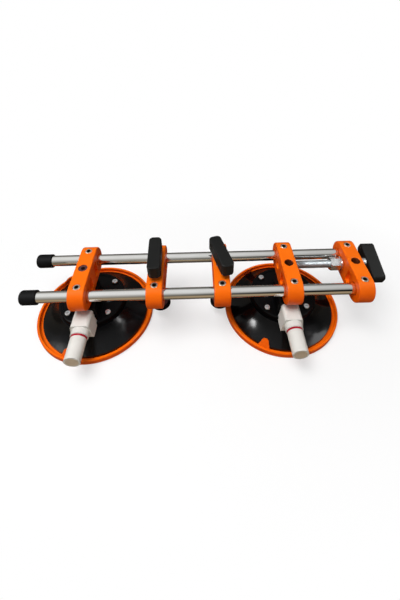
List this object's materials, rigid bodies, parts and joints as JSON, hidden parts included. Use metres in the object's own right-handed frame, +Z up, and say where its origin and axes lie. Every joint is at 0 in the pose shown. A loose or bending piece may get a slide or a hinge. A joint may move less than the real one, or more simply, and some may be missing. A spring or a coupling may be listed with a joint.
{
  "type": "two-cup vacuum tile and slab puller and leveller",
  "caption": "Two vacuum cups with hand pumps on a pair of guide rods, a screw that pulls the cups together or apart, and two T-handled levelling screws.",
  "frame": {"origin": "where the fixed cup's axis meets the plane that the two protective covers rest on; halfway between the guide rods", "axes": "+X along the guide rods from the fixed cup to the end bar, +Y away from the pump plungers, +Z up along the levelling screws"},
  "size_m": [0.5172, 0.195, 0.1295],
  "materials": {
    "chrome_rod": "polished hard chrome",
    "black_rubber": "satin moulded rubber",
    "orange_paint": "gloss powder coat on a casting",
    "bright_steel": "zinc plated, machined",
    "dark_steel": "black oxide",
    "pad_rubber": "glossy moulded rubber",
    "hub_plastic": "glossy black moulding",
    "cover_plastic": "glossy orange moulding",
    "white_plastic": "satin white moulding",
    "grey_plastic": "grey-beige moulding",
    "red_plastic": "red band",
    "handle_plastic": "fine-textured black moulding",
    "valve_rubber": "soft rubber",
    "spring_steel": "drawn wire",
    "button_plastic": "red moulding"
  },
  "bodies": {
    "frame": {"front_rod": "chrome_rod", "rear_rod": "chrome_rod", "front_rod_cap": "black_rubber", "rear_rod_cap": "black_rubber", "fixed_cup_bar": "orange_paint", "fixed_cup_bar_set_screws": "bright_steel", "end_bar": "orange_paint", "end_bar_set_screws": "bright_steel", "fixed_cup_protective_cover": "cover_plastic", "fixed_cup_rubber_pad": "pad_rubber", "fixed_cup_pad_insert_ring": "bright_steel", "fixed_cup_hub_plate": "hub_plastic", "fixed_cup_hub_screws": "bright_steel", "fixed_cup_pump_housing": "white_plastic", "fixed_cup_check_valve": "valve_rubber", "fixed_cup_plunger_spring": "spring_steel", "fixed_cup_release_spring": "spring_steel", "fixed_cup_stud": "dark_steel"},
    "fixed_plunger": {"fixed_cup_plunger": "white_plastic", "fixed_cup_red_ring": "red_plastic", "fixed_cup_piston_seal": "valve_rubber", "fixed_cup_plunger_plug": "grey_plastic"},
    "fixed_button": {"fixed_cup_release_button": "button_plastic"},
    "carriage": {"sliding_cup_bar": "orange_paint", "sliding_cup_bar_set_screws": "bright_steel", "sliding_cup_protective_cover": "cover_plastic", "sliding_cup_rubber_pad": "pad_rubber", "sliding_cup_pad_insert_ring": "bright_steel", "sliding_cup_hub_plate": "hub_plastic", "sliding_cup_hub_screws": "bright_steel", "sliding_cup_pump_housing": "white_plastic", "sliding_cup_check_valve": "valve_rubber", "sliding_cup_plunger_spring": "spring_steel", "sliding_cup_release_spring": "spring_steel", "sliding_cup_stud": "dark_steel"},
    "sliding_plunger": {"sliding_cup_plunger": "white_plastic", "sliding_cup_red_ring": "red_plastic", "sliding_cup_piston_seal": "valve_rubber", "sliding_cup_plunger_plug": "grey_plastic"},
    "sliding_button": {"sliding_cup_release_button": "button_plastic"},
    "tensioner": {"tension_screw": "bright_steel", "tension_nut": "bright_steel", "inner_thrust_washer": "bright_steel", "outer_thrust_washer": "bright_steel", "handle_spacer_sleeve": "bright_steel", "tension_handle": "handle_plastic"},
    "level_carrier_1": {"level_bar_1": "orange_paint", "level_bar_1_set_screws": "bright_steel"},
    "level_foot_1": {"level_foot_socket_1": "dark_steel", "level_foot_pad_1": "black_rubber"},
    "leveller_1": {"level_screw_1": "bright_steel", "level_handle_1": "handle_plastic"},
    "level_carrier_2": {"level_bar_2": "orange_paint", "level_bar_2_set_screws": "bright_steel"},
    "level_foot_2": {"level_foot_socket_2": "dark_steel", "level_foot_pad_2": "black_rubber"},
    "leveller_2": {"level_screw_2": "bright_steel", "level_handle_2": "handle_plastic"}
  },
  "joints": [
    {"name": "carriage_travel", "type": "slide", "parent": "frame", "child": "carriage", "axis": [1, 0, 0], "range_m": [0, 0.05]},
    {"name": "tension_turn", "type": "hinge", "parent": "frame", "child": "tensioner", "pos_m": [0.3865, 0.0135, 0.0825], "axis": [1, 0, 0], "range_deg": [-10286.71, 1]},
    {"name": "fixed_pump_stroke", "type": "slide", "parent": "frame", "child": "fixed_plunger", "axis": [0, 1, 0], "range_m": [0, 0.028], "stiffness_N_per_m": 300, "springref_m": -0.01, "deforming": ["fixed_cup_plunger_spring"]},
    {"name": "fixed_release_press", "type": "slide", "parent": "frame", "child": "fixed_button", "axis": [0, -1, 0], "range_m": [0, 0.002], "stiffness_N_per_m": 500, "springref_m": -0.003, "deforming": ["fixed_cup_release_spring"]},
    {"name": "sliding_pump_stroke", "type": "slide", "parent": "carriage", "child": "sliding_plunger", "axis": [0, 1, 0], "range_m": [0, 0.028], "stiffness_N_per_m": 300, "springref_m": -0.01, "deforming": ["sliding_cup_plunger_spring"]},
    {"name": "sliding_release_press", "type": "slide", "parent": "carriage", "child": "sliding_button", "axis": [0, -1, 0], "range_m": [0, 0.002], "stiffness_N_per_m": 500, "springref_m": -0.003, "deforming": ["sliding_cup_release_spring"]},
    {"name": "level_bar_1_shift", "type": "slide", "parent": "frame", "child": "level_carrier_1", "axis": [1, 0, 0], "range_m": [-0.004, 0.014]},
    {"name": "level_foot_1_lift", "type": "slide", "parent": "level_carrier_1", "child": "level_foot_1", "axis": [0, 0, 1], "range_m": [-0.008, 0.022]},
    {"name": "level_screw_1_turn", "type": "hinge", "parent": "level_foot_1", "child": "leveller_1", "pos_m": [0.1025, 0, 0.1], "axis": [0, 0, 1], "range_deg": [-1646.71, 4526.71]},
    {"name": "level_bar_2_shift", "type": "slide", "parent": "frame", "child": "level_carrier_2", "axis": [1, 0, 0], "range_m": [-0.014, 0.006]},
    {"name": "level_foot_2_lift", "type": "slide", "parent": "level_carrier_2", "child": "level_foot_2", "axis": [0, 0, 1], "range_m": [-0.008, 0.022]},
    {"name": "level_screw_2_turn", "type": "hinge", "parent": "level_foot_2", "child": "leveller_2", "pos_m": [0.1935, 0, 0.1], "axis": [0, 0, 1], "range_deg": [-1646.71, 4526.71]}
  ],
  "couplings": [
    {"joint": "tension_turn", "follows": "carriage_travel", "rad_per_m": -3590.4},
    {"joint": "level_screw_1_turn", "follows": "level_foot_1_lift", "rad_per_m": 3590.4},
    {"joint": "level_screw_2_turn", "follows": "level_foot_2_lift", "rad_per_m": 3590.4}
  ]
}
